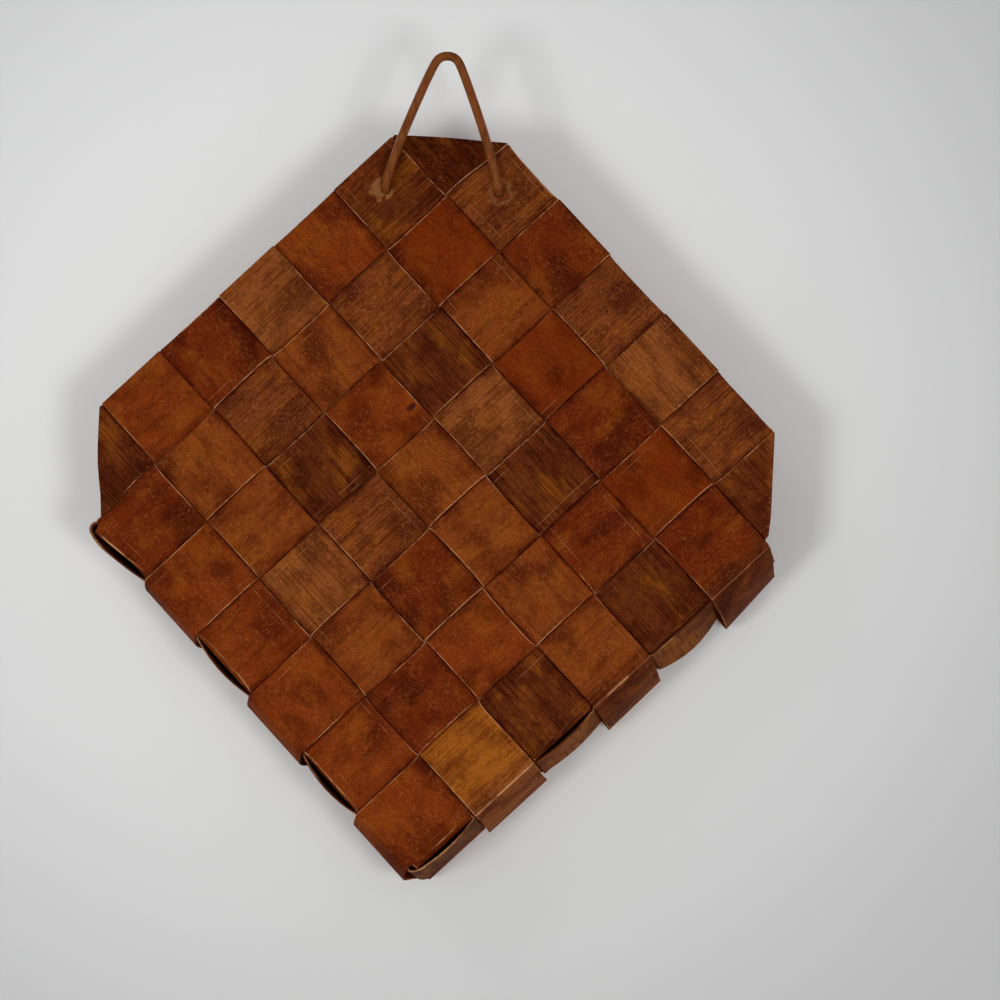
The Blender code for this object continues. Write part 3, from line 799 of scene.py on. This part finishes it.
def lane_tone(kind, lane, run):
    """Colour of the bark of a lane at a run, which changes under the strips that cross it."""
    changes = TONE_CHANGES.get((kind, lane), {})

    def at(cell):
        cell = LANES - 1 if cell == LANES and cell not in changes else cell
        return np.array(TONES[changes.get(cell, LANE_TONES[kind][lane])])

    place = run / PITCH - 0.5
    cell = math.floor(place)
    share = min(1, max(0, (place - cell - 0.5) / TONE_BLEND + 0.5))
    share = share * share * (3 - 2 * share)
    return at(cell) * (1 - share) + at(cell + 1) * share


def lane_lines(lane, start, end, creases):
    """Runs of a lane's low and high edge for each cross-section, with its share of settling flat.

    A crease is a run and a slope, at the low or the high end, and the lines fan out to it.
    """
    lines = [(run, run, 0.0) for run in lane.stations(start, end)]
    for at_end, crease in enumerate(creases):
        if crease is None:
            continue
        middle, slope = crease
        low, high = middle - slope * HALF_WIDTH, middle + slope * HALF_WIDTH
        touch = end if at_end else start
        fan = []
        for step in range(1, FAN_STEPS):
            share = step / FAN_STEPS
            fan.append((touch + (low - touch) * share, touch + (high - touch) * share, share))
        lines = lines + fan if at_end else fan[::-1] + lines
    return lines


def lay_lane(ribbon, lane, start, end, facing, lateral, base, sign, creases):
    """Adds a lane's cross-sections to a ribbon between two runs.

    facing is 1 where the ribbon's face looks outwards. lateral turns the ribbon's own across coordinate
    into the lane's. The ribbon's length at a run is base plus the run, or less the run with sign -1.
    """
    outer = ribbon.side * facing > 0
    for low_run, high_run, settle in lane_lines(lane, start, end, creases)[::sign]:
        def section(across, along):
            share = (across + HALF_WIDTH) / (2 * HALF_WIDTH)
            run = low_run + (high_run - low_run) * share
            points, normals = lane.points(run, lateral * across, settle)
            return points, normals * facing

        middle_run = (low_run + high_run) / 2
        tone = lane_tone(lane.kind, lane.lane, middle_run)
        wider = [lane.closeness(run, JUNCTION_REACH) for run in (low_run, high_run)]
        # dive sets painted shade where the lane goes under another or lies in the gap behind the side band,
        # and pale's second part a painted highlight along the crease
        dive = max(lane.closeness(middle_run, DIVE_REACH), lane.hollow(low_run))
        pale = (1.0 if outer else INNER_EDGE_TONE, 2.0 * lane.crease(low_run) * outer)
        ribbon.add(section, base + sign * low_run, base + sign * high_run, tone, wider, dive, pale)


def lay_fold(ribbon, corner, slopes, outwards, depth, start_face, base, sign, tone):
    """Adds the turn of a strip over itself, about a crease through a corner, given along u and v."""
    out = np.array((*outwards, 0.0)) / math.hypot(*outwards)
    for step in range(FOLD_STEPS + 1):
        angle = math.pi * step / FOLD_STEPS
        face = out * math.sin(angle) + np.array((0, 0, start_face * math.cos(angle)))

        def section(across, along):
            points = np.stack((corner[0] + slopes[0] * across, corner[1] + slopes[1] * across,
                               np.full_like(across, depth)), 1)
            return points + face * HALF_LIFT, np.tile(face, (len(across), 1))

        ribbon.add(section, base - sign * HALF_WIDTH, base + sign * HALF_WIDTH, tone)


def strip_start(kind, lane, ply):
    """Run at which a ply begins on the panel, and whether it wraps round the border strip."""
    if lane == LANES - 1:
        return (RIGHT_SPLICES if kind == "first" else LEFT_SPLICES)[ply] + SPLICE_GAP, False
    if sign_of(kind, lane, 0, "panel") > 0:
        if ply == (0 if kind == "first" else 1):
            return HALF_GAP - math.pi * WRAP_RADIUS - (PITCH - 2 * HALF_GAP) + TUCK_SPARE, True
        return PITCH - HALF_GAP, False
    return HALF_GAP + (INNER_PLY_START if ply else 0.0), False


def long_strip(number, ply, material):
    """One ply of a strip that goes down the panel, up the front, over the rim and back again."""
    ribbon = Ribbon(number * 2 + ply, 1 - 2 * ply)
    rim_cell = LANES - number
    start, wrapped = strip_start("first", number, ply)
    first = Lane("first", number, wrapped)
    finish, other_wrapped = strip_start("second", rim_cell, ply)
    second = Lane("second", rim_cell, other_wrapped)
    crease = front_run(second.middle)
    other_crease = front_run(first.middle)
    touch = crease - HALF_WIDTH - FAN_START
    other_touch = other_crease - HALF_WIDTH - FAN_START

    lay_lane(ribbon, first, start, touch, 1, 1, 0, 1, (None, (crease, 1)))
    lay_fold(ribbon, (first.middle, second.middle), (1, -1), (-1, -1), POCKET_DEPTH, 1, crease, 1,
             lane_tone("first", number, crease))
    lay_lane(ribbon, second, finish, other_touch, -1, -1, crease + other_crease, -1,
             (None, (other_crease, -1)))
    return ribbon.build(f"strip_{number}_ply_{'ab'[ply]}_bark", material)


def border_strip(ply, material):
    """One ply of the strip that makes the two upper edges, folded at three corners."""
    ribbon = Ribbon(BORDER_SEED + ply, 1 - 2 * ply, pulls=CORNER_PULLS)
    last = LANES - 1
    middle, far = PITCH / 2, SPAN - PITCH / 2
    near_touch = middle + HALF_WIDTH + FAN_START
    far_touch = far - HALF_WIDTH - FAN_START
    length, right_start = LEFT_SPLICES[ply] - SPLICE_GAP, RIGHT_SPLICES[ply] - SPLICE_GAP
    left = length - middle
    top = left + (far - middle)
    right = top + far - middle

    lay_lane(ribbon, Lane("second", last), near_touch, length, -1, 1, length, -1, ((middle, 1), None))
    lay_fold(ribbon, (middle, far), (1, 1), (-1, 1), 0, 1, left, -1, lane_tone("first", 0, far))
    lay_lane(ribbon, Lane("first", 0), near_touch, far_touch, 1, 1, left + far, -1,
             ((middle, -1), (far, 1)))
    lay_fold(ribbon, (middle, middle), (1, -1), (-1, -1), 0, -1, top, 1, lane_tone("first", 0, middle))
    lay_lane(ribbon, Lane("second", 0), near_touch, far_touch, -1, -1, top - middle, 1,
             ((middle, 1), (far, -1)))
    lay_fold(ribbon, (far, middle), (-1, -1), (1, -1), 0, 1, right, -1, lane_tone("second", 0, far))
    lay_lane(ribbon, Lane("first", last), near_touch, right_start, 1, -1, right - middle, 1,
             ((middle, -1), None))
    return ribbon.build(f"border_strip_ply_{'ab'[ply]}_bark", material)


class Band(Woven):
    """The side band on edge, which goes in and out of the strips at both lower edges."""

    HOOK = PITCH + HALF_GAP + HOOK_SETBACK
    BEND = WALL_PLANE - BAND_CORNER_RADIUS
    QUARTER = BAND_CORNER_RADIUS * math.pi / 2

    def __init__(self):
        changes = [(lane * PITCH, -wall_sign("first", lane)) for lane in range(2, LANES)]
        changes.append((SPAN, -wall_sign("second", LANES - 1)))
        changes += [(self.second_run(lane * PITCH), -wall_sign("second", lane - 1))
                    for lane in range(LANES - 1, 1, -1)]
        super().__init__(-wall_sign("first", 1), changes)

    def second_run(self, place):
        """Run at which the band reaches a place on the lower right edge."""
        return 2 * self.BEND + self.QUARTER - place

    def stations(self):
        start = self.HOOK - 2 * math.pi * HALF_LIFT - (PITCH - 2 * HALF_GAP)
        end = self.second_run(PITCH + HALF_GAP)
        runs = {start, end, start + PITCH * 0.5}
        runs.update(self.HOOK + PITCH * share for share in BULGE_STATIONS)
        runs.update(self.HOOK - 2 * HALF_LIFT * math.pi * step / 10 for step in range(11))
        runs.update(self.BEND + self.QUARTER * step / 8 for step in range(9))
        return self.chosen(runs, (0.14, 0.24, 0.37, 0.5, 0.63, 0.76, 0.86), start, end)

    def bulge(self, run, place, height, hook, past):
        """How far the band bulges out at a run, and how that changes with depth."""
        lane = ("first" if run < self.BEND else "second", int(place / PITCH))
        bulge, fading = BAND_BULGES.get(lane, (0, (0, 0)))
        if lane == ("first", 1):
            share = min(1, max(0, (run - self.HOOK) / (2 * PITCH - self.HOOK)))
            bulge *= (1 - share) ** 0.72 * (0.7 + 0.3 * math.sin(math.pi / 2 * min(1, share / 0.3)))
            return bulge * math.cos(hook / 2) ** 2, fading
        if run < self.BEND or past > 0:
            share = 2 * (place / PITCH % 1) - 1
            return bulge * (max(height, 0) / HALF_LIFT * (1 - share ** 2)), fading
        return 0.0, fading

    def section(self, run):
        hook = min(math.pi, max(0, (self.HOOK - run) / (2 * HALF_LIFT)))
        tail = max(0, self.HOOK - run - 2 * math.pi * HALF_LIFT)
        turn = min(math.pi / 2, max(0, (run - self.BEND) / BAND_CORNER_RADIUS))
        past = max(0, run - self.BEND - self.QUARTER)
        u = min(max(run, self.HOOK), self.BEND) - HALF_LIFT * math.sin(hook) + tail
        u += BAND_CORNER_RADIUS * math.sin(turn)
        v = WALL_PLANE - HALF_LIFT * (1 - math.cos(hook)) - past
        v -= BAND_CORNER_RADIUS * (1 - math.cos(turn))
        height = self.height(run)
        bulge, fading = self.bulge(run, u if run < self.BEND else v, height, hook, past)
        flare = BAND_FLARE * min(1, max(0, past / PITCH - 2.4) / 2)
        normal = np.array((math.sin(turn - hook), math.cos(turn - hook), 0.0))

        def at(across, along):
            points = np.stack((np.full_like(across, u), np.full_like(across, v),
                               (BAND_LOW + BAND_HIGH) / 2 + across), 1)
            down = np.clip(across / BAND_WIDTH + 0.5, 0, 1)
            out = height + flare * down + bulge * (fading[0] + fading[1] * down)
            return points + normal * out[:, None], np.tile(normal, (len(across), 1))

        return at


def side_band(ply, material):
    ribbon = Ribbon(BAND_SEED + ply, 1 - 2 * ply, BAND_WIDTH / 2, BAND_EDGE_WAVE)
    band = Band()
    for run in band.stations():
        nearness = math.exp(-((run - band.BEND - PITCH / 2) / PITCH) ** 4)
        tone = np.array(BAND_TONE) * (1 - nearness) + np.array(BAND_END_TONE) * nearness
        ribbon.add(band.section(run), run, run, np.array(BAND_INNER_TONE) if ply else tone)
    return ribbon.build(f"side_band_ply_{'ab'[ply]}_bark", material)


def cut_holes(item):
    """Cuts the two holes for the cord through a strip."""
    cutters = []
    for side in (-1, 1):
        build = bmesh.new()
        middle = Matrix.Translation((side * HOLE_HALF_SPREAD, CORD_STANDOFF, HOLE_HEIGHT))
        bmesh.ops.create_cone(build, cap_ends=True, segments=32, radius1=HOLE_RADIUS, radius2=HOLE_RADIUS,
                              depth=HOLE_CUT_DEPTH, matrix=middle @ Matrix.Rotation(math.pi / 2, 4, "X"))
        mesh = bpy.data.meshes.new("hole")
        build.to_mesh(mesh)
        build.free()
        cutters.append(put("hole", mesh))
        cut = item.modifiers.new("hole", "BOOLEAN")
        cut.operation = "DIFFERENCE"
        cut.solver = "EXACT"
        cut.object = cutters[-1]
    bpy.context.view_layer.update()
    graph = bpy.context.evaluated_depsgraph_get()
    mesh = bpy.data.meshes.new_from_object(item.evaluated_get(graph))
    item.modifiers.clear()
    item.data = mesh
    for cutter in cutters:
        bpy.data.objects.remove(cutter)


# Stage and lamps


def make_plane(name, corners, material):
    mesh = bpy.data.meshes.new(name)
    mesh.from_pydata(corners, [], [(0, 1, 2, 3)])
    mesh.materials.append(material)
    put(name, mesh)


def stage_material(name, colour, one_sided):
    """Pale paint with a painted pool of light: lighter round the object and darker farther off."""
    kit = Nodes(name)
    place = kit.add("ShaderNodeTexCoord").outputs["Object"]
    tint = kit.span(kit.noise(place, (2.2, 2.2, 2.2), 4), 0.3, 0.7, 0.985, 1.015)
    # Painted pool of light, darker away from LIGHTEST_PLACE
    fall = kit.span(kit.distance(place, LIGHTEST_PLACE), 0.08, 0.34, 1.0, 0.63)
    kit.surface(kit.tinted(kit.tinted(colour, tint), fall), 0.9, 0.1)
    if one_sided:
        behind = kit.add("ShaderNodeNewGeometry").outputs["Backfacing"]
        shadow = kit.add("ShaderNodeLightPath").outputs["Is Shadow Ray"]
        clear = kit.add("ShaderNodeBsdfTransparent").outputs[0]
        mix = kit.add("ShaderNodeMixShader", {0: kit.maths("MAXIMUM", behind, shadow),
                                              1: kit.shader.outputs[0], 2: clear})
        kit.link(mix.outputs[0], kit.output.inputs["Surface"])
    return kit.material


def make_lamp(name, place, size, power):
    data = bpy.data.lights.new(name, "AREA")
    data.size = size
    data.energy = power
    lamp = put(name, data)
    lamp.location = place
    lamp.rotation_euler = (CAMERA_TARGET - Vector(place)).to_track_quat("-Z", "Y").to_euler()


def make_stage():
    reach = STAGE_REACH
    make_plane("backdrop", [(x, WALL_STANDOFF, z) for x, z in (
        (-reach, FLOOR_HEIGHT), (reach, FLOOR_HEIGHT), (reach, WALL_TOP), (-reach, WALL_TOP))],
        stage_material("wall", WALL_COLOUR, True))
    make_plane("floor", [(x, y, FLOOR_HEIGHT) for x, y in (
        (-reach, -reach), (reach, -reach), (reach, reach), (-reach, reach))],
        stage_material("floor", FLOOR_COLOUR, False))
    for name, side in (("key_left", -1), ("key_right", 1)):
        place = CAMERA_TARGET + KEY_DISTANCE * direction(side * KEY_SIDE, KEY_DROP)
        make_lamp(name, place, KEY_SIZE, KEY_POWER)
    for name, lamp in LAMPS.items():
        make_lamp(name, *lamp)
    world = bpy.data.worlds.new("pale_world")
    world.use_nodes = True
    background = world.node_tree.nodes["Background"]
    background.inputs["Color"].default_value = WORLD_COLOUR
    background.inputs["Strength"].default_value = WORLD_STRENGTH
    bpy.context.scene.world = world
    bpy.context.scene.view_settings.view_transform = "Standard"


# Cord and knots


def smooth_route(points):
    """A smooth curve through the route's points, with a few steps between each two."""
    padded = [2 * points[0] - points[1]] + points + [2 * points[-1] - points[-2]]
    route = []
    for index in range(1, len(padded) - 2):
        before, start, end, after = padded[index - 1:index + 3]
        for step in range(CORD_POINTS_PER_STRETCH):
            t = step / CORD_POINTS_PER_STRETCH
            straight = start * 2 + (end - before) * t
            curve = (before * 2 - start * 5 + end * 4 - after) * t ** 2
            curve += (start * 3 - before - end * 3 + after) * t ** 3
            route.append((straight + curve) / 2)
    return route + [points[-1]]


def cord_points():
    """The cord's path from the left knot's seat over its highest point to the right knot's."""
    left = [Vector((-x, y, z)) for x, y, z in CORD_LEG]
    right = [Vector(point) for point in CORD_LEG]
    left.append(Vector((left[-1].x, LEFT_KNOT_SEAT, left[-1].z)))
    right.append(Vector((right[-1].x, RIGHT_KNOT_SEAT, right[-1].z)))
    return smooth_route(left[:0:-1] + right)


def knot_points(side, seat):
    """The path of an open overhand knot: out of its hole, round itself, and down to its cut tail."""
    lobes = []
    first, last = KNOT_ANGLES
    for step in range(KNOT_STEPS + 1):
        angle = first + (last - first) * step / KNOT_STEPS
        lobes.append((math.sin(angle) + 2 * math.sin(2 * angle), -math.sin(3 * angle),
                      math.cos(angle) - 2 * math.cos(2 * angle)))
    middle = Vector((side * HOLE_HALF_SPREAD, seat + KNOT_SIZE + CORD_RADIUS, HOLE_HEIGHT))
    return smooth_route([middle + Vector((side * x, y, z)) * KNOT_SIZE
                         for x, y, z in (*KNOT_LEAD, *lobes, *KNOT_TAIL)])


def make_lace(name, points, radius, resolution, material):
    """A round lace through some points."""
    curve = bpy.data.curves.new(name, "CURVE")
    curve.dimensions = "3D"
    curve.bevel_depth = radius
    curve.bevel_resolution = resolution
    curve.use_fill_caps = True
    spline = curve.splines.new("POLY")
    spline.points.add(len(points) - 1)
    for knot, point in zip(spline.points, points):
        knot.co = (*point, 1)
    spline.use_smooth = True
    curve.materials.append(material)
    return put(name, curve)


# Assembly


def declare(piece, node):
    """Attaches a piece to the basket's one body and hides the solid it stands for."""
    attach(piece, "root")
    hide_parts(node)


def main():
    make_camera()
    leather = leather_material()
    points = cord_points()
    cord = make_lace("leather_cord", points, CORD_RADIUS, 6, leather)
    declare(cord, "hanging_cord")
    for name, side, seat in (("left", -1, LEFT_KNOT_SEAT), ("right", 1, RIGHT_KNOT_SEAT)):
        knot = make_lace(f"leather_knot_{name}", knot_points(side, seat), KNOT_RADIUS, 5, leather)
        declare(knot, f"cord_knot_{name}")

    bark = bark_material()
    for ply, suffix in enumerate("ab"):
        for number in range(1, LANES):
            strip = long_strip(number, ply, bark)
            declare(strip, f"strip_{number}_ply_{suffix}")
            if number in (1, LANES - 1):
                cut_holes(strip)
        border = border_strip(ply, bark)
        cut_holes(border)
        declare(border, f"border_strip_ply_{suffix}")
        declare(side_band(ply, bark), f"side_band_ply_{suffix}")
    make_stage()


main()
